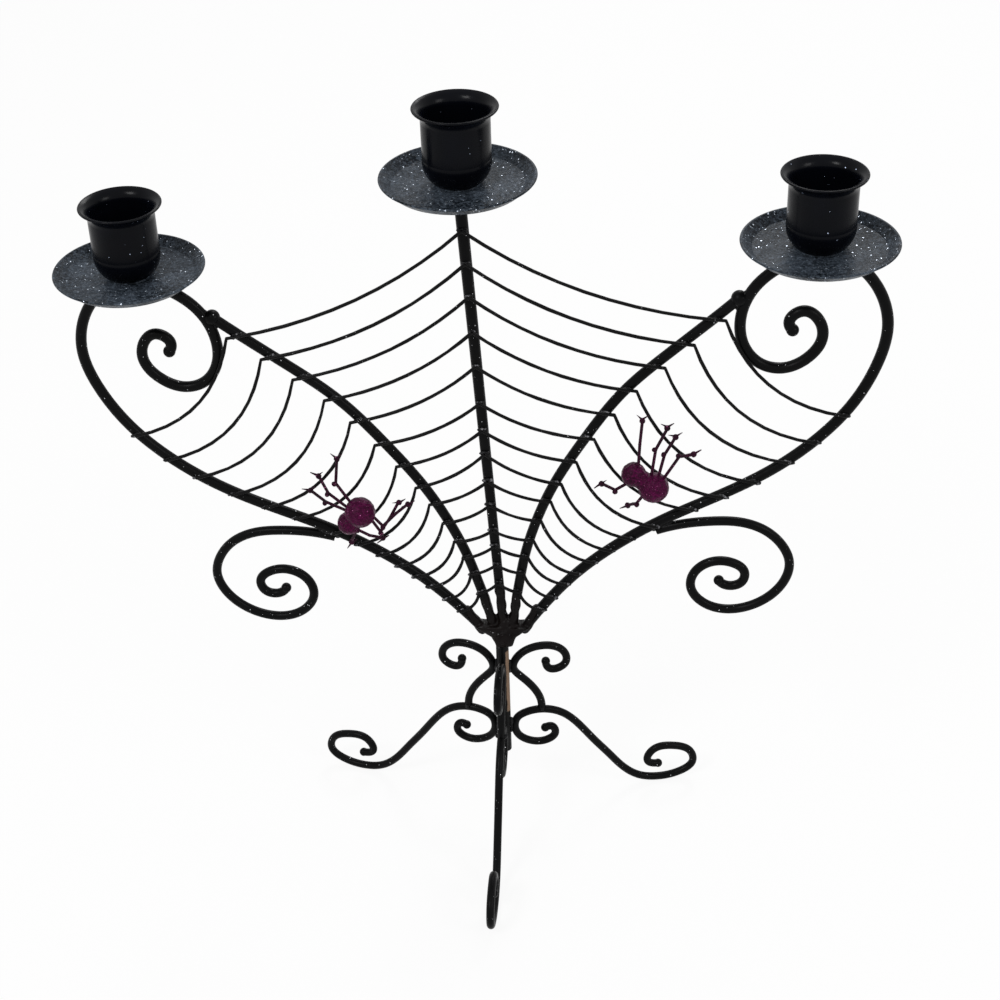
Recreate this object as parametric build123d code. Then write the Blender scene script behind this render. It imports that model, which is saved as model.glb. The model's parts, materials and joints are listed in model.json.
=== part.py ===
from build123d import *
import math
import os

# Spider web candelabra of bent iron rod: three candle cups on a fan of ribs, a wire web with two
# spiders, and a three-legged scroll foot. Millimetres, +Z up, the web lies in the XZ plane and
# is seen from -Y. The fan stands a few degrees out of plumb, as the hand-bent original does.

# Rod and wire stock
main_rod_d = 4.2
rib_rod_d = 4.0
spine_top_d = 4.5
spine_low_d = 3.8
scroll_rod_d = 3.7
foot_rod_d = 3.3
brace_rod_d = 3.3
stem_d = 5.2
wire_d = 1.3
spider_wire_d = 1.2

# Fits between the pieces
touch_gap = 0.05
bend_swell = 1.1
weld_reach = 1.0

# Where the fan stands
hub_height = 109.0
fan_lean = 3.2

# Candle cups, made of sheet
candle_d = 22.2
candle_clearance = 0.3
cup_wall = 0.8
cup_height = 28.0
cup_foot_r = 7.4
cup_rim_flare = 3.0
cup_taper_height = 10.0
cup_flare_height = 4.5

# Drip pans, made of sheet
pan_d = 56.0
pan_wall = 0.9
pan_depth = 3.8
pan_slope = 4.0

# Fan of ribs
side_cup_reach = 124.8
crest_height = 147.5
spine_length = 181.5
rib_foot = 4.0

# Stem and foot
leg_spread = 104.0
stem_bottom = 29.0

# Weld puddle that joins the ribs and the stem
hub_thickness = 7.0
hub_drop = 24.0

fan_place = Pos(0, 0, hub_height) * Rot(0, -fan_lean, 0)


def in_fan(points, side=1):
    """Points of the fan plane, given as (sideways, up), on one side of the spine."""
    return [Vector(side * x, 0, z) for x, z in points]


def swept_rod(path, diameter, across=(0, 1, 0)):
    """A round rod along a flat curve."""
    start = Plane(origin=path @ 0, x_dir=across, z_dir=path % 0)
    return sweep(start * Circle(diameter / 2), path=path)


def rounded_tip(path, diameter, at=1):
    """The swollen, rounded end that the smith leaves on a free end."""
    return Pos(*(path @ at)) * Sphere(diameter * 0.56)


def straight_bar(a, b, diameter):
    """A round bar between two points."""
    run = b - a
    return Plane(origin=a, z_dir=run) * Pos(0, 0, run.length / 2) * Cylinder(diameter / 2, run.length)


def bent_wire(points, diameter):
    """A wire of straight runs with rounded bends and ends."""
    bend = Sphere(diameter * bend_swell / 2)
    bent = Plane(origin=points[0], z_dir=points[1] - points[0]) * bend
    for a, b in zip(points, points[1:]):
        bent += straight_bar(a, b, diameter)
        bent += Plane(origin=b, z_dir=b - a) * bend
    return bent


def at_height(path, height, low=0.0, high=1.0):
    """The point where a climbing curve reaches a height."""
    for _ in range(40):
        middle = (low + high) / 2
        if (path @ middle).Z < height:
            low = middle
        else:
            high = middle
    return path @ low


def turned(points):
    """A ring turned from a closed outline of (radius, height)."""
    outline = make_face(Polyline(*[(x, 0, z) for x, z in points], close=True))
    return revolve(outline, axis=Axis.Z)


# Outer rib: from the hub out, up the shoulder, over the crest and down into the spiral
outer_rib_points = [
    (9.0, -15.0),
    (17.0, -4.5),
    (31.0, 11.0),
    (48.0, 24.8),
    (68.0, 37.0),
    (88.0, 46.8),
    (108.0, 58.0),
    (123.0, 69.7),
    (137.0, 85.5),
    (146.0, 103.0),
    (149.2, 119.0),
    (145.5, 133.5),
    (137.5, 143.2),
    (side_cup_reach, crest_height),
    (111.0, 143.2),
    (101.5, 134.5),
    (97.0, 122.0),
    (98.6, 111.0),
    (104.5, 104.0),
    (112.5, 102.2),
    (120.8, 106.0),
    (126.0, 113.5),
    (125.2, 121.0),
    (119.8, 125.4),
    (115.0, 122.8),
    (115.6, 117.8),
]

# Inner rib: from the hub up to the scroll that carries the side cup
inner_rib_points = [
    (rib_foot, -9.0),
    (7.2, 3.0),
    (11.0, 19.0),
    (17.2, 37.0),
    (25.6, 54.5),
    (38.5, 74.5),
    (54.5, 95.0),
    (70.0, 109.0),
    (84.5, 121.0),
    (96.8, 131.5),
]

# Lower scroll: hangs from the underside of the outer rib and curls back in
lower_scroll_points = [
    (63.5, 31.2),
    (75.0, 34.0),
    (85.0, 34.8),
    (95.0, 34.2),
    (104.5, 30.4),
    (111.5, 23.0),
    (114.4, 14.5),
    (112.3, 5.5),
    (106.0, -2.2),
    (97.5, -6.8),
    (88.0, -7.6),
    (80.2, -4.0),
    (76.0, 3.0),
    (77.8, 10.8),
    (84.2, 15.4),
    (92.0, 15.0),
    (97.0, 10.4),
    (95.6, 5.2),
    (90.8, 3.8),
    (87.0, 6.4),
]

# Foot, as (distance from the stem, height): inner curl, arch, tread and outer curl
foot_points = [
    (17.2, 37.4),
    (20.6, 37.2),
    (21.4, 33.6),
    (17.4, 30.5),
    (10.6, 31.4),
    (5.8, 35.4),
    (stem_d / 2 + foot_rod_d / 2 + touch_gap, 41.0),
    (5.6, 45.0),
    (10.0, 47.4),
    (16.0, 47.8),
    (23.5, 45.2),
    (31.0, 37.8),
    (38.0, 27.6),
    (44.5, 18.6),
    (51.5, 9.2),
    (58.5, 3.6),
    (67.0, foot_rod_d / 2),
    (75.5, 2.8),
    (81.6, 7.4),
    (80.2, 14.2),
    (72.5, 18.2),
    (64.4, 17.4),
    (61.6, 12.2),
    (66.4, 9.2),
]

# Brace, as (distance from the stem, height): curl beside the stem, vertex, end on the arch
brace_points = [
    (17.9, 73.2),
    (21.2, 68.6),
    (26.0, 71.0),
    (26.0, 76.2),
    (21.8, 80.4),
    (15.6, 81.6),
    (9.4, 80.0),
    (5.4, 76.2),
    (stem_d / 2 + brace_rod_d / 2 + touch_gap, 72.0),
    (7.2, 67.0),
    (12.0, 60.8),
    (15.0, 54.8),
    (15.8, 48.0),
]

# Web wires, from the top row to the hub, as heights where a wire crosses the spine, the inner
# rib and the outer rib
web_rows = [
    (164.0, 124.0, 82.5),
    (151.0, 114.5, 71.0),
    (137.5, 105.5, 62.5),
    (123.0, 96.0, 54.0),
    (108.5, 86.0, 47.5),
    (92.5, 75.5, 42.0),
    (80.5, 65.5, 34.5),
    (70.0, 55.5, 29.0),
    (57.5, 47.5, 23.5),
    (46.5, 38.5, 18.0),
    (34.5, 29.5, 12.5),
    (27.0, 21.5, 7.5),
    (18.0, 13.5, 1.0),
    (9.0, 4.0, -5.0),
]
inner_sag = 0.075
outer_sag = 0.15

hub_outline = [
    (0, 2.5),
    (5.5, 1.0),
    (10.0, -1.5),
    (14.5, -7.5),
    (10.5, -14.5),
    (5.2, -18.5),
    (3.4, -hub_drop),
]

parts = {}

# Hub
hub_right = in_fan(hub_outline)
hub_left = in_fan(hub_outline[:0:-1], -1)
hub_face = make_face(Polyline(*hub_right, *hub_left, close=True))
hub = extrude(hub_face, amount=hub_thickness / 2, dir=(0, -1, 0), both=True)
hub = fillet(hub.edges(), 1.2)

# Fan rods of the right side, in the fan's own place first; the left side is their mirror image
spine = Pos(0, 0, spine_length / 2) * Cone(spine_low_d / 2, spine_top_d / 2, spine_length)
outer_path = Spline(*in_fan(outer_rib_points))
inner_path = Spline(*in_fan(inner_rib_points))
lower_path = Spline(*in_fan(lower_scroll_points))
outer = swept_rod(outer_path, main_rod_d) + rounded_tip(outer_path, main_rod_d) - hub
inner = swept_rod(inner_path, rib_rod_d)
inner += Pos(*(inner_path @ 1)) * Sphere(rib_rod_d / 2 + weld_reach)
inner -= hub + outer
lower = swept_rod(lower_path, scroll_rod_d) + rounded_tip(lower_path, scroll_rod_d) - outer
for label, rod in (("outer_rib", outer), ("inner_rib", inner), ("lower_scroll", lower)):
    parts[label + "_right"] = fan_place * rod
    parts[label + "_left"] = fan_place * mirror(rod, about=Plane.YZ)
parts["hub_weld"] = fan_place * hub

# Web: each wire lies on the front of the ribs
web_y = -(max(main_rod_d, spine_top_d) / 2 + wire_d * bend_swell / 2 + touch_gap)


def web_half(row):
    """One web wire from the spine over the inner rib to the outer rib, with its slack."""
    on_spine, on_inner, on_outer = row
    top = Vector(0, 0, on_spine)
    mid = at_height(inner_path, on_inner)
    end = at_height(outer_path, on_outer, 0.0, 0.6)
    rise = (top - mid).length
    drop = (mid - end).length
    points = [top]
    for share, sag in ((0.25, 0.7), (0.6, 0.95), (0.86, 0.4)):
        hang = Vector(-0.4, 0, -0.9) * rise * inner_sag * sag
        points.append(top + (mid - top) * share + hang)
    points.append(mid + Vector(0.85, 0, -0.35) * (1.0 + drop * 0.045))
    for share, sag in ((0.25, 0.72), (0.5, 1.0), (0.75, 0.8)):
        hang = Vector(-0.6, 0, -0.8) * drop * outer_sag * sag
        points.append(mid + (end - mid) * share + hang)
    points.append(end)
    front = Vector(0, web_y, 0)
    arrival = points[-1] - points[-2]
    return Spline(*[p + front for p in points], tangents=[(1, 0, 0), arrival.normalized()])


for number, row in enumerate(web_rows, 1):
    half = swept_rod(web_half(row), wire_d)
    wire = half + mirror(half, about=Plane.YZ)
    parts["web_wire_%02d" % number] = fan_place * wire

# Cups and pans: the pans lie level on the crests and on the spine
cup_r = candle_d / 2 + candle_clearance + cup_wall
bore_r = candle_d / 2 + candle_clearance
rim_r = cup_r + cup_rim_flare
flare_base = cup_height - cup_flare_height


def candle_cup():
    """A sheet cup with a small foot, a round belly, a straight throat and a flared rim."""
    outside = [
        Line((0, 0, 0), (cup_foot_r, 0, 0)),
        ThreePointArc(
            (cup_foot_r, 0, 0),
            (cup_r - 1.0, 0, cup_taper_height * 0.4),
            (cup_r, 0, cup_taper_height),
        ),
        Line((cup_r, 0, cup_taper_height), (cup_r, 0, flare_base)),
        ThreePointArc(
            (cup_r, 0, flare_base),
            (cup_r + cup_rim_flare * 0.3, 0, cup_height - cup_flare_height * 0.4),
            (rim_r, 0, cup_height),
        ),
    ]
    inside = [
        Line((rim_r, 0, cup_height), (rim_r - cup_wall, 0, cup_height + cup_wall * 0.5)),
        ThreePointArc(
            (rim_r - cup_wall, 0, cup_height + cup_wall * 0.5),
            (bore_r + cup_rim_flare * 0.3, 0, cup_height - cup_flare_height * 0.25),
            (bore_r, 0, flare_base),
        ),
        Line((bore_r, 0, flare_base), (bore_r, 0, cup_taper_height)),
        ThreePointArc(
            (bore_r, 0, cup_taper_height),
            (bore_r - 1.0, 0, cup_taper_height * 0.4 + cup_wall),
            (cup_foot_r - cup_wall, 0, cup_wall),
        ),
        Line((cup_foot_r - cup_wall, 0, cup_wall), (0, 0, cup_wall)),
        Line((0, 0, cup_wall), (0, 0, 0)),
    ]
    return revolve(make_face(outside + inside), axis=Axis.Z)


def drip_pan():
    """A shallow sheet dish with a sloping side."""
    edge = pan_d / 2
    floor = edge - pan_slope
    return turned(
        [
            (0, 0),
            (floor, 0),
            (edge, pan_depth - pan_wall * 0.5),
            (edge - 0.3, pan_depth),
            (edge - 0.9, pan_depth),
            (floor - 0.4, pan_wall),
            (0, pan_wall),
        ]
    )


spine = fan_place * (spine - hub)
spine_top = fan_place * Pos(0, 0, spine_length)
seat = {"centre": (spine_top.position.X, spine_top.position.Z - weld_reach)}
for name, side in (("left", -1), ("right", 1)):
    crest = fan_place * Pos(side * side_cup_reach, 0, crest_height)
    top = parts["outer_rib_" + name].bounding_box().max.Z
    seat[name] = (crest.position.X, top + touch_gap)
over = Pos(seat["centre"][0], 0, seat["centre"][1] + pan_d / 2) * Box(pan_d, pan_d, pan_d)
parts["spine"] = spine - over

for name, (x, z) in seat.items():
    parts["drip_pan_" + name] = Pos(x, 0, z) * drip_pan()
    parts["candle_cup_" + name] = Pos(x, 0, z + pan_wall) * candle_cup()

# Stem and legs
hub_end = (fan_place * Pos(0, 0, -hub_drop)).position
stem_length = hub_end.Z - stem_bottom
stem = straight_bar(Vector(0, 0, stem_bottom), Vector(0, 0, hub_height - 10), stem_d)
stem -= parts["hub_weld"]
stem = max(stem.solids(), key=lambda s: s.volume)
parts["stem"] = stem

for name, turn in (("front", 0), ("left", -leg_spread), ("right", leg_spread)):
    foot_path = Spline(*[Vector(0, -r, z) for r, z in foot_points])
    foot = swept_rod(foot_path, foot_rod_d, (1, 0, 0))
    foot += rounded_tip(foot_path, foot_rod_d, 0)
    foot += rounded_tip(foot_path, foot_rod_d, 1)
    brace_path = Spline(*[Vector(0, -r, z) for r, z in brace_points])
    brace = swept_rod(brace_path, brace_rod_d, (1, 0, 0))
    brace += rounded_tip(brace_path, brace_rod_d, 0)
    brace -= foot
    parts["foot_" + name] = Rot(0, 0, turn) * foot
    parts["brace_" + name] = Rot(0, 0, turn) * brace

# Spiders: two round lumps in front of the web, with bent wire legs
spider_y = web_y - wire_d * bend_swell / 2 - touch_gap


def spider(big, big_r, small, small_r, legs, label):
    """A spider from its two lumps and its legs, each leg a list of (sideways, out, up)."""
    big_middle = Vector(big[0], spider_y - big_r, big[1])
    small_middle = Vector(small[0], spider_y - small_r, small[1])
    along = small_middle - big_middle
    body = Plane(origin=big_middle, z_dir=along) * Sphere(big_r)
    body += Plane(origin=small_middle, z_dir=along) * Sphere(small_r)
    parts[label + "_body"] = fan_place * body
    for number, points in enumerate(legs, 1):
        run = [Vector(x, spider_y - out, z) for x, out, z in points]
        leg = bent_wire(run, spider_wire_d) - body
        leg = max(leg.solids(), key=lambda s: s.volume)
        parts["%s_leg_%d" % (label, number)] = fan_place * leg


spider(
    (-49.9, 49.2),
    6.0,
    (-55.0, 43.4),
    4.6,
    [
        [(-52.0, 6.0, 52.0), (-58.0, 4.5, 62.0), (-57.0, 1.0, 70.5)],
        [(-53.0, 6.0, 50.0), (-61.5, 4.5, 57.5), (-65.0, 1.0, 63.0)],
        [(-53.0, 6.0, 49.0), (-63.0, 4.5, 53.5), (-69.0, 1.0, 56.5)],
        [(-47.0, 6.0, 48.0), (-43.2, 4.5, 38.8), (-39.4, 2.5, 43.6), (-35.4, 1.0, 50.0)],
        [(-47.0, 6.0, 50.0), (-42.0, 4.5, 41.5), (-36.5, 2.5, 46.0), (-32.0, 1.0, 49.0)],
        [(-55.0, 4.6, 42.0), (-48.0, 3.5, 36.5), (-43.5, 1.0, 33.5)],
        [(-50.0, 6.0, 46.0), (-53.5, 3.5, 38.0), (-56.0, 1.0, 32.0)],
    ],
    "spider_left",
)
spider(
    (63.6, 57.4),
    5.8,
    (56.3, 62.8),
    4.7,
    [
        [(58.0, 4.7, 64.0), (59.2, 4.5, 76.0), (60.4, 1.0, 84.0)],
        [(62.5, 5.8, 60.0), (65.0, 4.5, 73.5), (69.5, 1.0, 80.4)],
        [(65.0, 5.8, 60.0), (68.2, 4.5, 71.2), (72.3, 1.0, 76.3)],
        [(66.0, 5.8, 59.0), (73.6, 4.5, 70.1), (78.7, 1.0, 68.6)],
        [(61.0, 5.8, 56.0), (56.8, 4.5, 49.5), (53.4, 1.0, 46.5)],
        [(57.0, 4.7, 61.0), (49.0, 4.0, 55.5), (44.0, 1.0, 56.5)],
    ],
    "spider_right",
)

# The row's origin is the middle of the underside of the box around the whole
whole = Compound(children=[Compound(shape.solids()) for shape in parts.values()]).bounding_box()
to_origin = Pos(-whole.center().X, -whole.center().Y, -whole.min.Z)

os.makedirs("parts", exist_ok=True)
for name, shape in parts.items():
    export_step(to_origin * shape, "parts/" + name + ".step")
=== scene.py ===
"""Dresses the spider web candelabra.

Gives its parts their paint and glitter, and adds the welds, rolled rims, web strands and spiders
that the plain solids leave out. Metres, in the frame of the solids.
"""

import json
import logging
import math
from dataclasses import dataclass, field, replace
from enum import Enum
from typing import Any

import bmesh
import bpy
import numpy as np
from mathutils import Matrix, Vector, noise
from mathutils.bvhtree import BVHTree

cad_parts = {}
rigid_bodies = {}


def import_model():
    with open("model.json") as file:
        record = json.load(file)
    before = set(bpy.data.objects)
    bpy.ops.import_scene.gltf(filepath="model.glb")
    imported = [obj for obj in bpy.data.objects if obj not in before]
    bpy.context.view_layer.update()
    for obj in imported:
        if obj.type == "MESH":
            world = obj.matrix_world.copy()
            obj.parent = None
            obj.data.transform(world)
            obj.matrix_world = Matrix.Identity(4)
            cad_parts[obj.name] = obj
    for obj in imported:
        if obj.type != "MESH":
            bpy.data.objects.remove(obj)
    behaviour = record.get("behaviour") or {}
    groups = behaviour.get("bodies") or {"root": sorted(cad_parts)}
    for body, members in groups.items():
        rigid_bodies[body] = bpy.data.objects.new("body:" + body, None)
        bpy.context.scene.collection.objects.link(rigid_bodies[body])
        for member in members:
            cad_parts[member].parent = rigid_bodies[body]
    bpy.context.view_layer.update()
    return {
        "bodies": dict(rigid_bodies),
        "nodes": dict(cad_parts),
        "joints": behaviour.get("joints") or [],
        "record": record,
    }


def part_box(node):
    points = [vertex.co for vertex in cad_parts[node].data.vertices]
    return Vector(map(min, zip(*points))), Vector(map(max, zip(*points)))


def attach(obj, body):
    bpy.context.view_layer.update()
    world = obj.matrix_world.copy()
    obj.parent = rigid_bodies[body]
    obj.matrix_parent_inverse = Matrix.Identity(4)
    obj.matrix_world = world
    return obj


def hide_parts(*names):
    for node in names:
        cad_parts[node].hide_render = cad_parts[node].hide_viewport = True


log = logging.getLogger("candelabra")
Colour = tuple[float, float, float]
MM = 0.001
MERGE = 1e-6
CLOSEST = 0.1 * MM
SIDES = ("left", "right")
RIBS = ("spine", "inner_rib_left", "inner_rib_right", "outer_rib_left", "outer_rib_right")
WIRE_PREFIX = "web_wire_"


class Slot(Enum):
    """The record's material slots."""

    ROD = "rod_black"
    WIRE = "wire_black"
    CUP = "cup_black"
    PAN = "pan_black"
    SPIDER = "spider_purple"


class Value:
    """A number socket on which arithmetic adds Math nodes."""

    def __init__(self, shader: "Shader", socket: bpy.types.NodeSocket) -> None:
        """Wraps one output socket of a shader's tree."""
        self.shader = shader
        self.socket = socket

    def math(self, operation: str, first: Any, second: Any) -> "Value":
        """Adds one Math node.

        Args:
            operation: The node's operation.
            first: Its first number or socket.
            second: Its second number or socket.

        Returns:
            The node's result.
        """
        made = self.shader.node("Math", {"operation": operation}, {0: first, 1: second})
        return Value(self.shader, made.outputs[0])

    def __add__(self, other: Any) -> "Value":
        """The sum."""
        return self.math("ADD", self, other)

    def __sub__(self, other: Any) -> "Value":
        """The difference."""
        return self.math("SUBTRACT", self, other)

    def __rsub__(self, other: Any) -> "Value":
        """The difference from a number."""
        return self.math("SUBTRACT", other, self)

    def __mul__(self, other: Any) -> "Value":
        """The product."""
        return self.math("MULTIPLY", self, other)

    __radd__ = __add__
    __rmul__ = __mul__


class Shader:
    """The nodes of one material or world."""

    def __init__(self, owner: Any) -> None:
        """Turns on the nodes of a material or a world.

        Args:
            owner: The material or world.
        """
        owner.use_nodes = True
        self.owner = owner
        self.tree = owner.node_tree

    def node(self, kind: str, settings: dict[str, Any], sockets: dict[Any, Any]) -> bpy.types.Node:
        """Adds one node.

        Args:
            kind: Its type, without the ShaderNode prefix.
            settings: Its properties, which are set first.
            sockets: Values or links by socket name or number.

        Returns:
            The node.
        """
        made = self.tree.nodes.new("ShaderNode" + kind)
        for name, setting in settings.items():
            setattr(made, name, setting)
        for key, value in sockets.items():
            self.feed(made.inputs[key], value)
        return made

    def feed(self, socket: bpy.types.NodeSocket, value: Any) -> None:
        """Links a socket, or sets its own value.

        Args:
            socket: The input socket.
            value: A number, a colour, a Value or an output socket.
        """
        if isinstance(value, Value):
            value = value.socket
        if isinstance(value, bpy.types.NodeSocket):
            self.tree.links.new(value, socket)
        else:
            socket.default_value = value

    def place(self) -> bpy.types.NodeSocket:
        """The point on the piece, in metres."""
        return self.node("TexCoord", {}, {}).outputs["Object"]

    def along(self, axis: int) -> Value:
        """One coordinate of the point on the piece."""
        split = self.node("SeparateXYZ", {}, {0: self.place()})
        return Value(self, split.outputs[axis])

    def drift(self, scale: float, detail: float = 3.0) -> Value:
        """Slow random change from 0 to 1, with about so many waves a metre."""
        made = self.node("TexNoise", {}, {"Vector": self.place(), "Scale": scale, "Detail": detail})
        return Value(self, made.outputs[0])

    def cells(self, scale: float) -> tuple[Value, Value]:
        """Random grains.

        Args:
            scale: Grains a metre.

        Returns:
            The distance from the grain's middle, and the grain's own random number.
        """
        made = self.node("TexVoronoi", {}, {"Vector": self.place(), "Scale": scale})
        split = self.node("SeparateColor", {}, {0: made.outputs["Color"]})
        return Value(self, made.outputs["Distance"]), Value(self, split.outputs[0])

    def ease(self, value: Value, low: float, high: float) -> Value:
        """Rises smoothly from 0 at low to 1 at high.

        Args:
            value: What is measured.
            low: Where the rise starts.
            high: Where it ends.

        Returns:
            The share risen.
        """
        settings = {"interpolation_type": "SMOOTHSTEP"}
        made = self.node("MapRange", settings, {0: value, 1: low, 2: high, 3: 0.0, 4: 1.0})
        return Value(self, made.outputs[0])

    def tint(self, share: Any, under: Any, over: Any) -> bpy.types.NodeSocket:
        """Mixes two colours.

        Args:
            share: The second colour's share, from 0 to 1.
            under: The first colour or its socket.
            over: The second colour or its socket.

        Returns:
            The mixed colour.
        """
        pair = [(*c, 1.0) if isinstance(c, tuple) else c for c in (under, over)]
        made = self.node("Mix", {"data_type": "RGBA"}, {0: share, 6: pair[0], 7: pair[1]})
        return made.outputs[2]

    def bump(self, height: Value, depth: float) -> bpy.types.NodeSocket:
        """The normal of a surface raised by height times depth, in metres."""
        return self.node("Bump", {}, {"Height": height, "Distance": depth}).outputs["Normal"]

    def surface(self, sockets: dict[str, Any]) -> bpy.types.Material:
        """Sets the material's own shader.

        Args:
            sockets: Values or links by socket name.

        Returns:
            The material.
        """
        for name, value in sockets.items():
            self.feed(self.tree.nodes["Principled BSDF"].inputs[name], value)
        return self.owner


@dataclass(frozen=True)
class GlitterPaint:
    """Paint with metal flecks in it.

    Ground and haze are the paint's own colours, dust is how far each grain drifts between them,
    and share is the part of the grains that hold a bright fleck.
    """

    name: str
    ground: Colour
    haze: Colour
    fleck: Colour
    share: float
    dust: float
    grain: float = 1500.0
    rough: float = 0.36
    gloss: float = 0.07
    coat: float = 0.0
    coat_rough: float = 0.12
    ripple: float = 0.12 * MM
    fine: float = 1.9
    fleck_size: float = 0.28
    pin_size: float = 0.3
    fleck_shine: float = 0.85
    fleck_polish: float = 0.15
    fleck_height: float = 0.5
    cloud: float = 0.3
    cloud_waves: float = 55.0
    smear: float = 0.22
    hammer: float = 0.7
    grit: float = 0.2
    hammer_waves: float = 420.0
    grit_waves: float = 1900.0
    smear_waves: float = 160.0

    def make(self) -> bpy.types.Material:
        """Makes the paint."""
        shader = Shader(bpy.data.materials.new(self.name))
        return self.dress(shader, None, self.ground)

    def sparks(self, shader: Shader, grain: float, share: float, size: float) -> tuple[Value, Value]:
        """Bright flecks of one size.

        Args:
            shader: The material's nodes.
            grain: Grains a metre.
            share: The part of the grains that hold a fleck.
            size: The fleck's radius, where a grain is 1 across.

        Returns:
            The flecks, as 1 on a fleck, and each grain's random number.
        """
        far, tone = shader.cells(grain)
        lit = shader.ease(tone, 1 - share, 1 - share * 0.8)
        return lit * (1 - shader.ease(far, size, size * 1.5)), tone

    def dress(self, shader: Shader, bare: Value | None, metal: Colour) -> bpy.types.Material:
        """Feeds the shader with the paint, worn off where bare is 1.

        Args:
            shader: The material's nodes.
            bare: The worn share, or None where no paint is off.
            metal: The colour under the paint.

        Returns:
            The material.
        """
        flecks, tone = self.sparks(shader, self.grain, self.share, self.fleck_size)
        pin_grain, pin_share = self.grain * self.fine, self.share * 0.5
        pins, fine_tone = self.sparks(shader, pin_grain, pin_share, self.pin_size)
        spark = shader.ease(flecks + pins, 0.0, 1.0)
        cloud = shader.ease(shader.drift(self.cloud_waves), 0.35, 0.7)
        haze = cloud * self.cloud + tone * fine_tone * self.dust
        colour = shader.tint(haze, self.ground, self.haze)
        colour = shader.tint(spark, colour, self.fleck)
        rough = self.rough + (shader.drift(self.smear_waves) - 0.5) * self.smear
        rough = rough - spark * self.fleck_polish
        height = shader.drift(self.hammer_waves) * self.hammer + spark * self.fleck_height
        height = height + shader.drift(self.grit_waves) * self.grit
        metallic = spark * self.fleck_shine
        if bare is not None:
            colour = shader.tint(bare, colour, metal)
            rough = rough + bare * 0.2
            metallic = metallic * (1 - bare)
            height = height - bare * 0.6
        return shader.surface({
            "Base Color": colour,
            "Roughness": rough,
            "Metallic": metallic,
            "Specular IOR Level": self.gloss,
            "Coat Weight": self.coat,
            "Coat Roughness": self.coat_rough,
            "Normal": shader.bump(height, self.ripple),
        })


@dataclass(frozen=True)
class BareStemPaint:
    """The stem's paint, with the bare brown strip down its front right."""

    paint: GlitterPaint
    metal: Colour = (0.24, 0.16, 0.11)
    low: float = 50.0 * MM
    high: float = 83.0 * MM
    left: float = 9.4 * MM
    front: float = 27.4 * MM
    ragged_waves: float = 260.0
    ragged: float = 2.2 * MM

    def make(self) -> bpy.types.Material:
        """Makes the paint with its worn strip.

        Returns:
            The material.
        """
        shader = Shader(bpy.data.materials.new(self.paint.name))
        edge = (shader.drift(self.ragged_waves) - 0.5) * self.ragged
        up, side, deep = shader.along(2), shader.along(0), shader.along(1)
        worn = shader.ease(up + edge, self.low, self.low + 1.0 * MM)
        worn = worn * (1 - shader.ease(up + edge * 2, self.high - 1.0 * MM, self.high))
        worn = worn * shader.ease(side + edge * 0.4, self.left, self.left + 0.4 * MM)
        worn = worn * (1 - shader.ease(deep, self.front, self.front + 0.6 * MM))
        return self.paint.dress(shader, worn, self.metal)


@dataclass(frozen=True)
class WeldMetal:
    """Weld metal under thin paint: grey where it shines through, dark elsewhere."""

    name: str
    dark: Colour
    bright: Colour
    shown: float
    waves: float = 900.0
    rough: float = 0.36
    gloss: float = 0.12
    shine: float = 0.75
    depth: float = 0.25 * MM

    def make(self) -> bpy.types.Material:
        """Makes the weld metal.

        Returns:
            The material.
        """
        shader = Shader(bpy.data.materials.new(self.name))
        low, high = 0.62 - self.shown * 0.3, 0.78 - self.shown * 0.2
        patch = shader.ease(shader.drift(self.waves), low, high)
        ripple = shader.drift(self.waves * 1.7, 2.0)
        return shader.surface({
            "Base Color": shader.tint(patch, self.dark, self.bright),
            "Roughness": self.rough + ripple * 0.2,
            "Metallic": patch * self.shine,
            "Specular IOR Level": self.gloss,
            "Normal": shader.bump(ripple, self.depth),
        })


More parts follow.
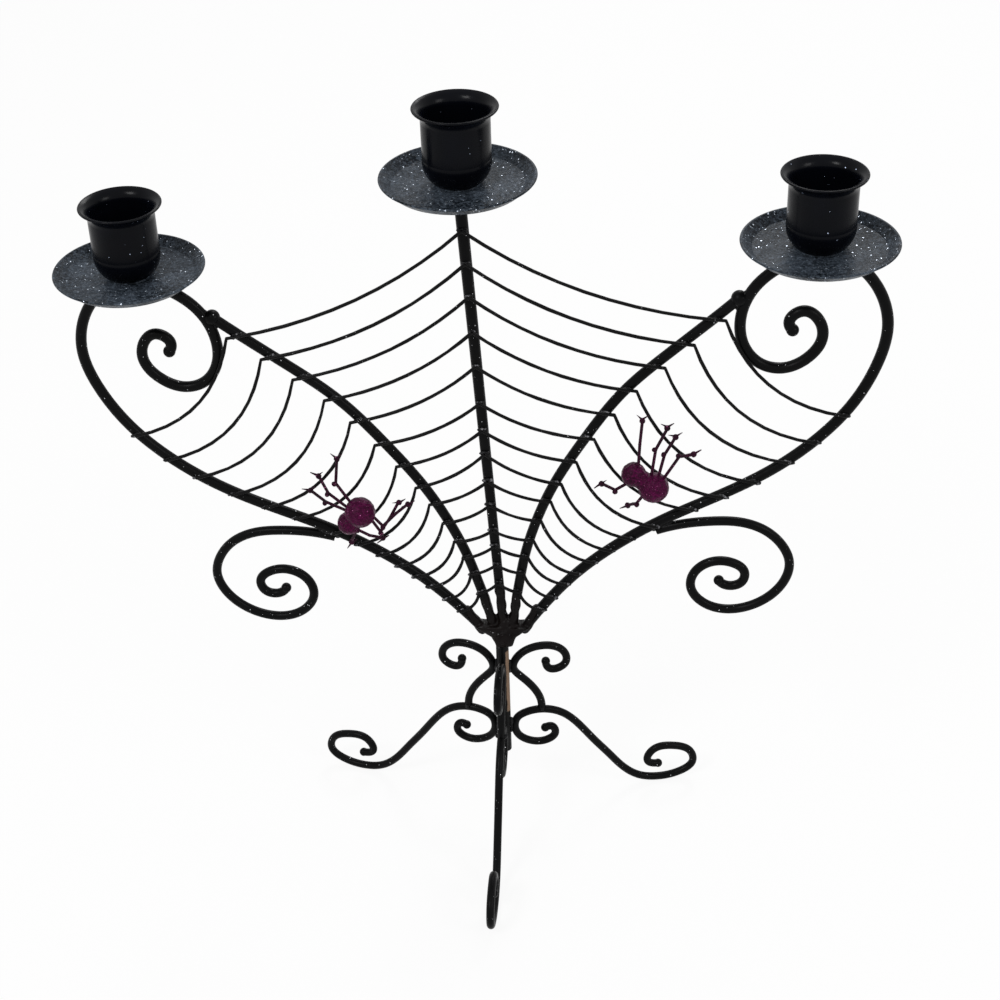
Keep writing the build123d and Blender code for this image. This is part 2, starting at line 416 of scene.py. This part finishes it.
@dataclass(frozen=True)
class Finishes:
    """Every finish of the candelabra."""

    rod: GlitterPaint = GlitterPaint(
        "satin_rod_paint", (0.0022, 0.0022, 0.0024), (0.006, 0.006, 0.0065), (0.5, 0.51, 0.53),
        share=0.009, dust=0.03, grain=1700.0, rough=0.34, gloss=0.06,
    )
    wire: GlitterPaint = GlitterPaint(
        "satin_wire_paint", (0.0025, 0.0024, 0.0026), (0.007, 0.0065, 0.007), (0.4, 0.4, 0.42),
        share=0.008, dust=0.03, rough=0.34, gloss=0.08,
    )
    cup: GlitterPaint = GlitterPaint(
        "gloss_cup_paint", (0.0012, 0.0015, 0.0028), (0.003, 0.004, 0.008), (0.5, 0.58, 0.75),
        share=0.003, dust=0.02, rough=0.26, gloss=0.06, coat=0.03, ripple=0.06 * MM,
    )
    pan: GlitterPaint = GlitterPaint(
        "glitter_pan_paint", (0.003, 0.0048, 0.0075), (0.095, 0.118, 0.15), (0.8, 0.88, 1.0),
        share=0.035, dust=1.0, grain=1150.0, ripple=0.7 * MM,
    )
    spider: GlitterPaint = GlitterPaint(
        "glitter_spider_paint", (0.004, 0.0003, 0.0025), (0.10, 0.003, 0.05), (0.6, 0.16, 0.4),
        share=0.03, dust=0.9, ripple=0.6 * MM,
    )
    leg: GlitterPaint = GlitterPaint(
        "glitter_leg_paint", (0.006, 0.001, 0.004), (0.05, 0.004, 0.025), (0.4, 0.12, 0.26),
        share=0.03, dust=0.8, grain=1700.0, rough=0.42, gloss=0.08, ripple=0.15 * MM,
    )
    hub: GlitterPaint = GlitterPaint(
        "hub_paint", (0.003, 0.0021, 0.0021), (0.010, 0.006, 0.0055), (0.4, 0.4, 0.42),
        share=0.01, dust=0.03, grain=1400.0, gloss=0.08, ripple=0.3 * MM,
    )
    weld: WeldMetal = WeldMetal("wire_weld_metal", (0.004, 0.004, 0.0045), (0.17, 0.17, 0.18), 0.45)
    seam: WeldMetal = WeldMetal(
        "seam_weld_metal", (0.003, 0.003, 0.0035), (0.06, 0.06, 0.063), 0.3, waves=500.0
    )

    def stem(self) -> BareStemPaint:
        """The rod paint of the stem, worn down its front right."""
        return BareStemPaint(replace(self.rod, name="worn_stem_paint"))


class Bench:
    """Where new pieces are made and finished."""

    def __init__(self, frame: dict[str, Any]) -> None:
        """Keeps the frame's nodes, and the search trees of those that pieces are set on."""
        self.nodes: dict[str, bpy.types.Object] = frame["nodes"]
        self.trees: dict[str, BVHTree] = {}

    def points(self, name: str, most: int = 9000) -> np.ndarray:
        """Some of a node's vertices, as rows.

        Args:
            name: The node.
            most: About how many are taken.

        Returns:
            An array of three columns.
        """
        mesh = self.nodes[name].data
        rows = np.zeros(len(mesh.vertices) * 3)
        mesh.vertices.foreach_get("co", rows)
        rows = rows.reshape(-1, 3)
        return rows[:: max(1, len(rows) // most)]

    def tree(self, name: str) -> BVHTree:
        """A node's search tree, made once.

        Args:
            name: The node.

        Returns:
            The tree.
        """
        if name not in self.trees:
            mesh = self.nodes[name].data
            corners = [v.co for v in mesh.vertices]
            self.trees[name] = BVHTree.FromPolygons(corners, [p.vertices for p in mesh.polygons])
        return self.trees[name]

    def near(self, one: str, other: str, reach: float) -> tuple[np.ndarray, np.ndarray]:
        """Points midway between two nodes where they come close.

        Args:
            one: The node whose points are tried.
            other: The node they are tried against.
            reach: The greatest distance.

        Returns:
            The midway points, and how far apart the nodes are there.
        """
        tree = self.tree(other)
        found, gaps = [], []
        for row in self.points(one):
            hit, _, _, gap = tree.find_nearest(row, reach)
            if hit is not None:
                found.append((Vector(row) + hit) / 2)
                gaps.append(gap)
        return np.array([tuple(p) for p in found]).reshape(-1, 3), np.array(gaps)

    def meeting(self, one: str, other: str, reach: float) -> Vector | None:
        """The middle of the place where two nodes come closest.

        Args:
            one: The first node.
            other: The second node.
            reach: The greatest distance.

        Returns:
            The place, or None where they don't come so close.
        """
        found, gaps = self.near(one, other, reach)
        if not len(gaps):
            return None
        return Vector(found[gaps <= gaps.min() + CLOSEST].mean(axis=0))

    @staticmethod
    def lump(form: bmesh.types.BMesh, place: Matrix, radii: Colour, steps: int = 2) -> None:
        """Adds one rounded lump.

        Args:
            form: The mesh it joins.
            place: Its place and turn.
            radii: Its half sizes along its own axes.
            steps: How finely it is divided.
        """
        size = Matrix.Diagonal((*radii, 1.0))
        bmesh.ops.create_icosphere(form, subdivisions=steps, radius=1.0, matrix=place @ size)

    @staticmethod
    def roughen(form: bmesh.types.BMesh, depth: float, waves: float) -> None:
        """Makes a surface uneven, as hand-work does.

        Args:
            form: The mesh.
            depth: How far it moves.
            waves: Waves a metre.
        """
        form.normal_update()
        for vertex in form.verts:
            vertex.co += vertex.normal * depth * noise.noise(vertex.co * waves)

    @staticmethod
    def settled(source: bpy.types.Object) -> bmesh.types.BMesh:
        """The mesh that an object's modifiers or curve give.

        Args:
            source: The object, which is used up.

        Returns:
            The mesh.
        """
        bpy.context.scene.collection.objects.link(source)
        view = bpy.context.evaluated_depsgraph_get()
        form = bmesh.new()
        form.from_mesh(source.evaluated_get(view).to_mesh())
        bpy.data.objects.remove(source)
        return form

    def fused(self, form: bmesh.types.BMesh, voxel: float) -> bmesh.types.BMesh:
        """Melts lumps into one skin.

        Args:
            form: The lumps, which are used up.
            voxel: The size of the skin's faces.

        Returns:
            The skin.
        """
        mesh = bpy.data.meshes.new("melt")
        form.to_mesh(mesh)
        form.free()
        melt = bpy.data.objects.new("melt", mesh)
        remesh = melt.modifiers.new("remesh", "REMESH")
        remesh.mode = "VOXEL"
        remesh.voxel_size = voxel
        skin = self.settled(melt)
        axes = {"use_axis_x": True, "use_axis_y": True, "use_axis_z": True}
        for _ in range(3):
            bmesh.ops.smooth_vert(skin, verts=skin.verts, factor=0.5, **axes)
        return skin

    def piece(
        self,
        form: bmesh.types.BMesh,
        name: str,
        finish: bpy.types.Material,
        slot: Slot,
        stands_for: str | None = None,
    ) -> None:
        """Turns a form into a finished piece on the body.

        Args:
            form: Its mesh, which is used up.
            name: Its name.
            finish: Its material.
            slot: The record's slot of that finish; not used.
            stands_for: The node that it replaces, or None.
        """
        bmesh.ops.recalc_face_normals(form, faces=form.faces)
        for face in form.faces:
            face.smooth = True
        mesh = bpy.data.meshes.new(name)
        form.to_mesh(mesh)
        form.free()
        mesh.materials.append(finish)
        made = bpy.data.objects.new(name, mesh)
        bpy.context.scene.collection.objects.link(made)
        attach(made, "root")
        if stands_for:
            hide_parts(stands_for)
        log.info("%s: %d faces", name, len(mesh.polygons))

    def wires(self) -> list[str]:
        """The nodes of the web's wires."""
        return sorted(n for n in self.nodes if n.startswith(WIRE_PREFIX))


def main_line(points: np.ndarray) -> tuple[Vector, Vector, float]:
    """The line that a run of points follows.

    Args:
        points: The points, as rows.

    Returns:
        Their middle, their direction and half their length.
    """
    middle = points.mean(axis=0)
    _, _, axes = np.linalg.svd(points - middle, full_matrices=False)
    spread = (points - middle) @ axes[0]
    return Vector(middle), Vector(axes[0]), float(np.abs(spread).max())


def round_lump(size: float) -> Colour:
    """The half sizes of a ball."""
    return (size, size, size)


@dataclass
class WebStrands:
    """The web's wires: each peaks at the spine, bends at the inner rib and hangs to the outer rib."""

    bench: Bench
    finish: bpy.types.Material
    thick: float = 0.66 * MM
    inner_hang: float = 0.07
    outer_hang: float = 0.145
    shoulder: float = 0.05
    handle_pull: float = 0.75
    leave: float = 0.33
    arrive: float = 0.67
    reach: float = 1.2 * MM
    unevenness: float = 0.12 * MM
    uneven_waves: float = 300.0

    def crossing(self, wire: str, rib: str) -> Vector | None:
        """Where a wire lies on a rib.

        Args:
            wire: The wire's node.
            rib: The rib's node.

        Returns:
            The place, in the middle of the wire, or None where the wire doesn't reach the rib.
        """
        spot = self.bench.meeting(wire, rib, self.reach)
        if spot is None:
            return None
        low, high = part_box(wire)
        spot.y = (low[1] + high[1]) / 2
        return spot

    def drop(self, start: Vector, end: Vector, share: float) -> Vector:
        """How far a span's handles hang towards the hub, square to its chord.

        Args:
            start: The span's start.
            end: Its end.
            share: The hang at the middle, as a share of the chord.

        Returns:
            The drop.
        """
        chord = end - start
        square = Vector((-chord.z, 0.0, chord.x))
        if square.z > 0:
            square = -square
        return square * (share / self.handle_pull)

    def half(
        self, curve: bpy.types.Curve, top: Vector, inner: Vector | None, outer: Vector | None
    ) -> None:
        """Draws one side of a wire, as knots of (place, handle before, handle after).

        Args:
            curve: The curve that it joins.
            top: Where it crosses the spine.
            inner: Where it crosses the inner rib.
            outer: Where it ends on the outer rib.
        """
        knots = [(top, top, top)]
        last = arrival = top
        if inner is not None:
            hang = self.drop(top, inner, self.inner_hang)
            span = inner - top
            arrival = top + span * self.arrive + hang
            knots[0] = (top, top, top + span * self.leave + hang)
            knots.append((inner, arrival, inner))
            last = inner
        if outer is not None:
            hang = self.drop(last, outer, self.outer_hang)
            span = outer - last
            onward = (last - arrival if inner is not None else span).normalized()
            run_out = onward * span.length * self.shoulder
            bend = last + run_out
            knots[-1] = (last, knots[-1][1], last + run_out * 0.5)
            knots.append((bend, bend - run_out * 0.3, bend + span * 0.3 + hang * 0.95))
            knots.append((outer, last + span * self.arrive + hang * 1.05, outer))
        run = curve.splines.new("BEZIER")
        run.bezier_points.add(len(knots) - 1)
        run.resolution_u = 10
        for point, (place, before, after) in zip(run.bezier_points, knots):
            point.handle_left_type = point.handle_right_type = "FREE"
            point.co, point.handle_left, point.handle_right = place, before, after

    def build(self) -> None:
        """Strings every wire."""
        for wire in self.bench.wires():
            top = self.crossing(wire, "spine")
            if top is None:
                continue
            curve = bpy.data.curves.new("strand", "CURVE")
            curve.dimensions = "3D"
            curve.bevel_depth = self.thick
            curve.bevel_resolution = 3
            curve.use_fill_caps = True
            for side in SIDES:
                inner = self.crossing(wire, "inner_rib_" + side)
                outer = self.crossing(wire, "outer_rib_" + side)
                self.half(curve, top, inner, outer)
            form = self.bench.settled(bpy.data.objects.new("strand", curve))
            self.bench.roughen(form, self.unevenness, self.uneven_waves)
            self.bench.piece(form, wire + "_strand", self.finish, Slot.WIRE, wire)


@dataclass
class WireWelds:
    """The small weld dabs that hold each web wire on each rib."""

    bench: Bench
    finish: bpy.types.Material
    long: float = 2.0 * MM
    deep: float = 0.75 * MM
    high: float = 0.85 * MM
    reach: float = 1.2 * MM
    beside: float = 3.0 * MM
    vary: float = 0.25
    unevenness: float = 0.35 * MM
    uneven_waves: float = 900.0

    def dab(self, form: bmesh.types.BMesh, spot: Vector, way: Vector, number: int) -> None:
        """Sets one dab along its wire.

        Args:
            form: The mesh it joins.
            spot: Its middle.
            way: The wire's direction there.
            number: How many were set before, which varies its size.
        """
        turn = way.to_track_quat("X", "Z").to_matrix().to_4x4()
        swell = 1.0 + self.vary * math.sin(number * 2.4)
        radii = (self.long * swell, self.deep, self.high * swell)
        self.bench.lump(form, Matrix.Translation(spot) @ turn, radii)

    def build(self) -> None:
        """Sets a dab wherever a wire meets a rib."""
        form = bmesh.new()
        count = 0
        for wire in self.bench.wires():
            run = self.bench.points(wire)
            for rib in RIBS:
                spot = self.bench.meeting(wire, rib, self.reach)
                if spot is None:
                    continue
                close = run[np.linalg.norm(run - np.array(spot), axis=1) < self.beside]
                _, way, _ = main_line(close)
                self.dab(form, spot, way, count)
                count += 1
        self.bench.roughen(form, self.unevenness, self.uneven_waves)
        self.bench.piece(form, "wire_weld_dabs", self.finish, Slot.WIRE)
        log.info("%d wire welds", count)


@dataclass
class SeamWelds:
    """The beads where two rods, or a rod and a pan, are welded side by side."""

    bench: Bench
    finish: bpy.types.Material
    bead: float = 1.5 * MM
    spacing: float = 0.9 * MM
    reach: float = 0.45 * MM
    longest: float = 7.0 * MM
    apart: float = 9.0 * MM
    fewest: int = 3
    taper: float = 0.25
    voxel: float = 0.45 * MM
    unevenness: float = 0.4 * MM
    uneven_waves: float = 450.0

    def seams(self) -> list[tuple[str, str]]:
        """The pairs of nodes that are welded.

        Returns:
            Their names.
        """
        pairs = [("spine", "drip_pan_centre")]
        for side in SIDES:
            pairs.append(("inner_rib_" + side, "outer_rib_" + side))
            pairs.append(("lower_scroll_" + side, "outer_rib_" + side))
            pairs.append(("outer_rib_" + side, "drip_pan_" + side))
        for leg in ("front", *SIDES):
            pairs.append(("foot_" + leg, "stem"))
            pairs.append(("brace_" + leg, "stem"))
            pairs.append(("brace_" + leg, "foot_" + leg))
        return pairs

    def groups(self, points: np.ndarray) -> list[np.ndarray]:
        """Splits points into groups that lie apart from each other.

        Args:
            points: The points, as rows.

        Returns:
            The groups.
        """
        left, out = points, []
        while len(left):
            inside = np.linalg.norm(left - left[0], axis=1) < self.apart
            out.append(left[inside])
            left = left[~inside]
        return out

    def lay(self, form: bmesh.types.BMesh, group: np.ndarray) -> None:
        """Lays one bead along a group of points.

        Args:
            form: The mesh it joins.
            group: The points where the two nodes touch.
        """
        middle, way, half = main_line(group)
        half = min(half, self.longest)
        steps = max(1, round(half / self.spacing))
        for step in range(-steps, steps + 1):
            spot = middle + way * (half * step / steps)
            size = self.bead * (1.0 - self.taper * abs(step) / steps)
            self.bench.lump(form, Matrix.Translation(spot), round_lump(size))

    def build(self) -> None:
        """Lays a bead along every seam."""
        form = bmesh.new()
        for one, other in self.seams():
            found, _ = self.bench.near(one, other, self.reach)
            for group in self.groups(found):
                if len(group) >= self.fewest:
                    self.lay(form, group)
        skin = self.bench.fused(form, self.voxel)
        self.bench.roughen(skin, self.unevenness, self.uneven_waves)
        self.bench.piece(skin, "seam_weld_beads", self.finish, Slot.ROD)


@dataclass
class RolledRims:
    """The rolled edge of each cup and pan, and the solder ring at each cup's foot."""

    bench: Bench
    cup_finish: bpy.types.Material
    pan_finish: bpy.types.Material
    roll: float = 0.42 * MM
    foot: float = 7.4 * MM
    solder: float = 0.8 * MM
    solder_flat: float = 0.7
    solder_out: float = 0.3 * MM
    solder_lift: float = 0.35 * MM
    inset: float = 1.02
    unevenness: float = 0.45 * MM
    uneven_waves: float = 380.0

    def ring(self, centre: Vector, radius: float, roll: float, flat: float = 1.0) -> bmesh.types.BMesh:
        """Spins a small circle round an upright axis.

        Args:
            centre: The ring's middle.
            radius: Its radius.
            roll: The small circle's radius.
            flat: The small circle's height over its width.

        Returns:
            The ring.
        """
        form = bmesh.new()
        stand = Matrix.Rotation(math.pi / 2, 4, "X") @ Matrix.Diagonal((1, flat, 1, 1))
        place = Matrix.Translation(centre + Vector((radius, 0, 0))) @ stand
        bmesh.ops.create_circle(form, segments=10, radius=roll, matrix=place)
        outline = form.verts[:] + form.edges[:]
        turn = {"axis": (0, 0, 1), "angle": 2 * math.pi, "steps": 120, "use_merge": True}
        bmesh.ops.spin(form, geom=outline, cent=centre, **turn)
        bmesh.ops.remove_doubles(form, verts=form.verts, dist=MERGE)
        return form

    def rim(self, node: str, finish: bpy.types.Material, slot: Slot) -> None:
        """Rolls the top edge of a cup or pan.

        Args:
            node: The cup's or pan's node.
            finish: The rim's material.
            slot: The record's slot of that finish.
        """
        low, high = (Vector(c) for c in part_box(node))
        centre = (low + high) / 2
        centre.z = high.z - self.roll
        radius = (high.x - low.x) / 2 - self.roll * self.inset
        self.bench.piece(self.ring(centre, radius, self.roll), node + "_rim", finish, slot)

    def build(self) -> None:
        """Rolls the rims of the three cups and pans, and solders the cups' feet."""
        for side in ("left", "centre", "right"):
            self.rim("candle_cup_" + side, self.cup_finish, Slot.CUP)
            self.rim("drip_pan_" + side, self.pan_finish, Slot.PAN)
            low, high = (Vector(c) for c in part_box("candle_cup_" + side))
            centre = (low + high) / 2
            centre.z = low.z + self.solder_lift
            reach = self.foot + self.solder_out
            seam = self.ring(centre, reach, self.solder, self.solder_flat)
            self.bench.roughen(seam, self.unevenness, self.uneven_waves)
            self.bench.piece(seam, "cup_solder_" + side, self.pan_finish, Slot.PAN)


@dataclass
class HubPuddle:
    """The uneven weld that the ribs run into and the stem grows out of."""

    bench: Bench
    finish: bpy.types.Material
    rod: float = 2.1 * MM
    step: float = 0.8 * MM
    brim: float = 95.5 * MM
    touch: float = 0.12 * MM
    straight: float = 9.0 * MM
    least: float = 5.0 * MM
    below: float = 3.0 * MM
    head: Colour = (2.6 * MM, 2.2 * MM, 2.2 * MM)
    head_lumps: int = 5
    head_base: float = 1.0 * MM
    head_rise: float = 2.4 * MM
    head_sway: float = 2.0 * MM
    head_front: float = 1.2 * MM
    voxel: float = 0.5 * MM
    unevenness: float = 0.6 * MM
    uneven_waves: float = 260.0

    def run(self, form: bmesh.types.BMesh, rib: str) -> None:
        """Carries a rib on from its cut end, along its own line, down into the weld.

        Args:
            form: The mesh it joins.
            rib: The rib's node.
        """
        found, _ = self.bench.near(rib, "hub_weld", self.touch)
        if not len(found):
            return
        start = Vector(found.mean(axis=0))
        points = self.bench.points(rib)
        close = points[np.linalg.norm(points - np.array(start), axis=1) < self.straight]
        _, way, _ = main_line(close)
        way = -way if way.z > 0 else way
        depth = max(self.least, (start.z - self.brim + self.below) / max(0.3, -way.z))
        for number in range(-3, round(depth / self.step) + 1):
            spot = start + way * (self.step * number)
            self.bench.lump(form, Matrix.Translation(spot), round_lump(self.rod))

    def bowl(self) -> bmesh.types.BMesh:
        """The lower part of the hub, cut off level at the brim.

        Returns:
            The closed form.
        """
        form = bmesh.new()
        form.from_mesh(self.bench.nodes["hub_weld"].data)
        bmesh.ops.remove_doubles(form, verts=form.verts, dist=MERGE)
        whole = form.verts[:] + form.edges[:] + form.faces[:]
        level = {"plane_co": (0, 0, self.brim), "plane_no": (0, 0, 1)}
        cut = bmesh.ops.bisect_plane(form, geom=whole, clear_outer=True, **level)
        rim = [e for e in cut["geom_cut"] if isinstance(e, bmesh.types.BMEdge)]
        bmesh.ops.edgeloop_fill(form, edges=rim)
        return form

    def build(self) -> None:
        """Melts the ends of the ribs and the lower hub into one skin."""
        form = self.bowl()
        for rib in RIBS:
            self.run(form, rib)
        low, high = (Vector(c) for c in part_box("stem"))
        top = Vector(((low.x + high.x) / 2, (low.y + high.y) / 2, high.z))
        for turn in range(self.head_lumps):
            across = math.sin(turn * 2.1) * self.head_sway
            sway = Vector((across, -self.head_front, self.head_base + turn * self.head_rise))
            self.bench.lump(form, Matrix.Translation(top + sway), self.head)
        skin = self.bench.fused(form, self.voxel)
        self.bench.roughen(skin, self.unevenness, self.uneven_waves)
        self.bench.piece(skin, "hub_puddle", self.finish, Slot.ROD, "hub_weld")


@dataclass(frozen=True)
class Ball:
    """One of a spider's two lumps: its place in the leaning web, sideways and up, and its radius."""

    across: float
    up: float
    radius: float


@dataclass
class Spider:
    """A glitter spider: its two lumps melted together, and the barbs and knees of its legs."""

    bench: Bench
    side: str
    big: Ball
    small: Ball
    body_finish: bpy.types.Material
    leg_finish: bpy.types.Material
    hub: Vector = field(default_factory=lambda: Vector((8.17, 27.78, 109.03)) * MM)
    lean: float = math.radians(3.2)
    front: float = 3.78 * MM
    voxel: float = 0.3 * MM
    knee: Colour = (1.05 * MM, 0.95 * MM, 1.1 * MM)
    toe: Colour = (1.2 * MM, 0.9 * MM, 1.3 * MM)
    barb_long: float = 3.4 * MM
    barb_thick: float = 0.55 * MM
    barb_thin: float = 0.15 * MM
    barb_out: float = 1.4 * MM
    barb_turn: float = 0.7
    cross_turn: float = 2.3
    cross_fan: float = 0.3
    neck: float = 0.55
    waist: float = 0.8
    toe_back: float = 0.02
    body_uneven: float = 0.22 * MM
    body_waves: float = 700.0
    leg_uneven: float = 0.2 * MM
    leg_waves: float = 800.0

    def middle(self, ball: Ball) -> Vector:
        """The middle of a lump, from its place in the leaning web.

        Args:
            ball: The lump.

        Returns:
            The place.
        """
        cosine, sine = math.cos(self.lean), math.sin(self.lean)
        across = ball.across * cosine - ball.up * sine
        up = ball.across * sine + ball.up * cosine
        return self.hub + Vector((across, -self.front - ball.radius, up))

    def body(self) -> None:
        """Melts the two lumps into one rough body."""
        form = bmesh.new()
        for ball in (self.big, self.small):
            place = Matrix.Translation(self.middle(ball))
            self.bench.lump(form, place, round_lump(ball.radius), 5)
        neck = self.middle(self.big).lerp(self.middle(self.small), self.neck)
        waist = self.small.radius * self.waist
        self.bench.lump(form, Matrix.Translation(neck), round_lump(waist), 4)
        skin = self.bench.fused(form, self.voxel)
        self.bench.roughen(skin, self.body_uneven, self.body_waves)
        body = f"spider_{self.side}_body"
        self.bench.piece(skin, f"spider_{self.side}_skin", self.body_finish, Slot.SPIDER, body)

    def barb(self, form: bmesh.types.BMesh, tip: Vector, turn: float) -> None:
        """Sets one barb across a leg's tip.

        Args:
            form: The mesh it joins.
            tip: The tip.
            turn: The barb's direction in the web, in radians.
        """
        reach = Vector((math.cos(turn), -0.15, math.sin(turn))).normalized()
        stand = reach.to_track_quat("Z", "Y").to_matrix().to_4x4()
        place = Matrix.Translation(tip + reach * self.barb_out) @ stand
        size = {"radius1": self.barb_thick, "radius2": self.barb_thin, "depth": self.barb_long}
        bmesh.ops.create_cone(form, cap_ends=True, segments=8, matrix=place, **size)

    def leg(self, form: bmesh.types.BMesh, name: str, number: int) -> None:
        """Sets crossed barbs and a lump at a leg's tip, and a swollen knee at its bend.

        Args:
            form: The mesh they join.
            name: The leg's node.
            number: The leg's place among the legs, which turns its second barb.
        """
        middle = self.middle(self.big)
        offsets = self.bench.points(name) - np.array(middle)
        tip = middle + Vector(offsets[np.argmax(np.linalg.norm(offsets, axis=1))])
        way = np.array((tip - middle).normalized())
        aside = offsets - np.outer(offsets @ way, way)
        knee = middle + Vector(offsets[np.argmax(np.linalg.norm(aside, axis=1))])
        self.bench.lump(form, Matrix.Translation(knee), self.knee)
        self.bench.lump(form, Matrix.Translation(tip.lerp(middle, self.toe_back)), self.toe)
        for turn in (self.barb_turn, self.cross_turn + self.cross_fan * number):
            self.barb(form, tip, turn)

    def build(self) -> None:
        """Builds the body, and the barbs and knees of the legs."""
        self.body()
        form = bmesh.new()
        start = f"spider_{self.side}_leg_"
        for number, name in enumerate(sorted(n for n in self.bench.nodes if n.startswith(start))):
            self.leg(form, name, number)
        self.bench.roughen(form, self.leg_uneven, self.leg_waves)
        self.bench.piece(form, f"spider_{self.side}_barbs", self.leg_finish, Slot.SPIDER)


@dataclass
class Paintwork:
    """Which finish each carried-over solid gets."""

    bench: Bench
    finishes: Finishes

    def build(self) -> dict[str, bpy.types.Material]:
        """Paints every solid.

        Returns:
            The materials by the start of their nodes' names.
        """
        coats = {
            WIRE_PREFIX: self.finishes.wire.make(),
            "candle_cup_": self.finishes.cup.make(),
            "drip_pan_": self.finishes.pan.make(),
            "spider_left_body": self.finishes.spider.make(),
            "spider_": self.finishes.leg.make(),
            "hub_weld": self.finishes.hub.make(),
            "stem": self.finishes.stem().make(),
            "": self.finishes.rod.make(),
        }
        for name, node in self.bench.nodes.items():
            start = next(key for key in coats if name.startswith(key))
            node.data.materials.clear()
            node.data.materials.append(coats[start])
            log.info("%s painted with %s", name, coats[start].name)
        return coats


@dataclass(frozen=True)
class Lamp:
    """A soft square lamp: its place, its width in metres and its power in watts."""

    name: str
    place: Colour
    width: float
    power: float


@dataclass
class Studio:
    """The pale floor, the soft light and the camera at the photograph's angle."""

    lamps: tuple[Lamp, ...] = (
        Lamp("key_lamp", (-0.7, -0.9, 1.35), 0.42, 9.0),
        Lamp("fill_lamp", (1.1, -0.6, 0.9), 0.45, 4.0),
        Lamp("back_lamp", (0.2, 1.1, 1.2), 0.45, 6.0),
    )
    aim: Colour = (0.0, 0.02, 0.16)
    camera_place: Colour = (0.07376, -0.61079, 0.5916)
    camera_right: Colour = (0.99397, 0.10172, -0.04086)
    camera_down: Colour = (0.02559, -0.57775, -0.81581)
    sensor: float = 36.0
    lens: float = 71.93
    shift: tuple[float, float] = (0.0479, 0.0393)
    sky: float = 0.5
    floor_colour: Colour = (0.93, 0.93, 0.93)
    floor_glow: float = 0.9
    floor_half: float = 6.0

    @staticmethod
    def seen(shader: Shader) -> Value:
        """Tells the rays that show the background.

        Args:
            shader: The nodes of the floor or the sky.

        Returns:
            1 for a ray from the camera, a reflection or a clear body.
        """
        rays = shader.node("LightPath", {}, {})
        names = ("Is Camera Ray", "Is Glossy Ray", "Is Transmission Ray")
        first, second, third = (Value(shader, rays.outputs[name]) for name in names)
        return first.math("MAXIMUM", first.math("MAXIMUM", first, second), third)

    def light(self) -> None:
        """Hangs the lamps and an even sky."""
        for lamp in self.lamps:
            data = bpy.data.lights.new(lamp.name, "AREA")
            data.size = lamp.width
            data.energy = lamp.power
            holder = bpy.data.objects.new(lamp.name, data)
            holder.location = lamp.place
            way = Vector(self.aim) - Vector(lamp.place)
            holder.rotation_euler = way.to_track_quat("-Z", "Y").to_euler()
            bpy.context.scene.collection.objects.link(holder)
        world = bpy.data.worlds.new("sky")
        bpy.context.scene.world = world
        shader = Shader(world)
        ground = shader.tree.nodes["Background"]
        shader.feed(ground.inputs["Color"], (1.0, 1.0, 1.0, 1.0))
        shader.feed(ground.inputs["Strength"], self.sky + self.seen(shader) * (1.0 - self.sky))

    def floor(self) -> None:
        """Lays the pale floor, which keeps the shadow."""
        form = bmesh.new()
        bmesh.ops.create_grid(form, x_segments=8, y_segments=8, size=self.floor_half)
        mesh = bpy.data.meshes.new("studio_floor")
        form.to_mesh(mesh)
        form.free()
        shader = Shader(bpy.data.materials.new("floor_white"))
        colour = (*self.floor_colour, 1.0)
        shader.surface({"Base Color": colour, "Roughness": 0.9, "Specular IOR Level": 0.1})
        plain = shader.tree.nodes["Principled BSDF"].outputs[0]
        glow = shader.node("Emission", {}, {"Strength": 1.0}).outputs[0]
        share = self.seen(shader) * self.floor_glow
        mixed = shader.node("MixShader", {}, {0: share, 1: plain, 2: glow})
        shader.feed(shader.tree.nodes["Material Output"].inputs["Surface"], mixed.outputs[0])
        mesh.materials.append(shader.owner)
        ground = bpy.data.objects.new("studio_floor", mesh)
        bpy.context.scene.collection.objects.link(ground)

    def camera(self) -> None:
        """Stands the camera where the photograph was taken from."""
        data = bpy.data.cameras.new("camera")
        data.sensor_width = self.sensor
        data.lens = self.lens
        data.shift_x, data.shift_y = self.shift
        data.clip_start, data.clip_end = 0.05, 50.0
        stand = bpy.data.objects.new("camera", data)
        right, up = Vector(self.camera_right), -Vector(self.camera_down).normalized()
        turn = Matrix((right, up, right.cross(up))).transposed()
        stand.matrix_world = Matrix.Translation(self.camera_place) @ turn.to_4x4()
        bpy.context.scene.collection.objects.link(stand)
        bpy.context.scene.camera = stand

    def build(self) -> None:
        """Sets up the whole studio."""
        bpy.context.scene.view_settings.view_transform = "Standard"
        self.floor()
        self.light()
        self.camera()


def main() -> None:
    """Loads the frame, dresses it and sets up the studio."""
    logging.basicConfig(level=logging.INFO)
    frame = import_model()
    bench = Bench(frame)
    finishes = Finishes()
    coats = Paintwork(bench, finishes).build()
    purple, legs = coats["spider_left_body"], coats["spider_"]
    left_big, left_small = Ball(-49.9 * MM, 49.2 * MM, 6.0 * MM), Ball(-55.0 * MM, 43.4 * MM, 4.6 * MM)
    right_big, right_small = Ball(63.6 * MM, 57.4 * MM, 5.8 * MM), Ball(56.3 * MM, 62.8 * MM, 4.7 * MM)
    WebStrands(bench, coats[WIRE_PREFIX]).build()
    WireWelds(bench, finishes.weld.make()).build()
    SeamWelds(bench, finishes.seam.make()).build()
    RolledRims(bench, coats["candle_cup_"], coats["drip_pan_"]).build()
    HubPuddle(bench, coats["hub_weld"]).build()
    Spider(bench, "left", left_big, left_small, purple, legs).build()
    Spider(bench, "right", right_big, right_small, purple, legs).build()
    Studio().build()


if __name__ == "__main__":
    main()
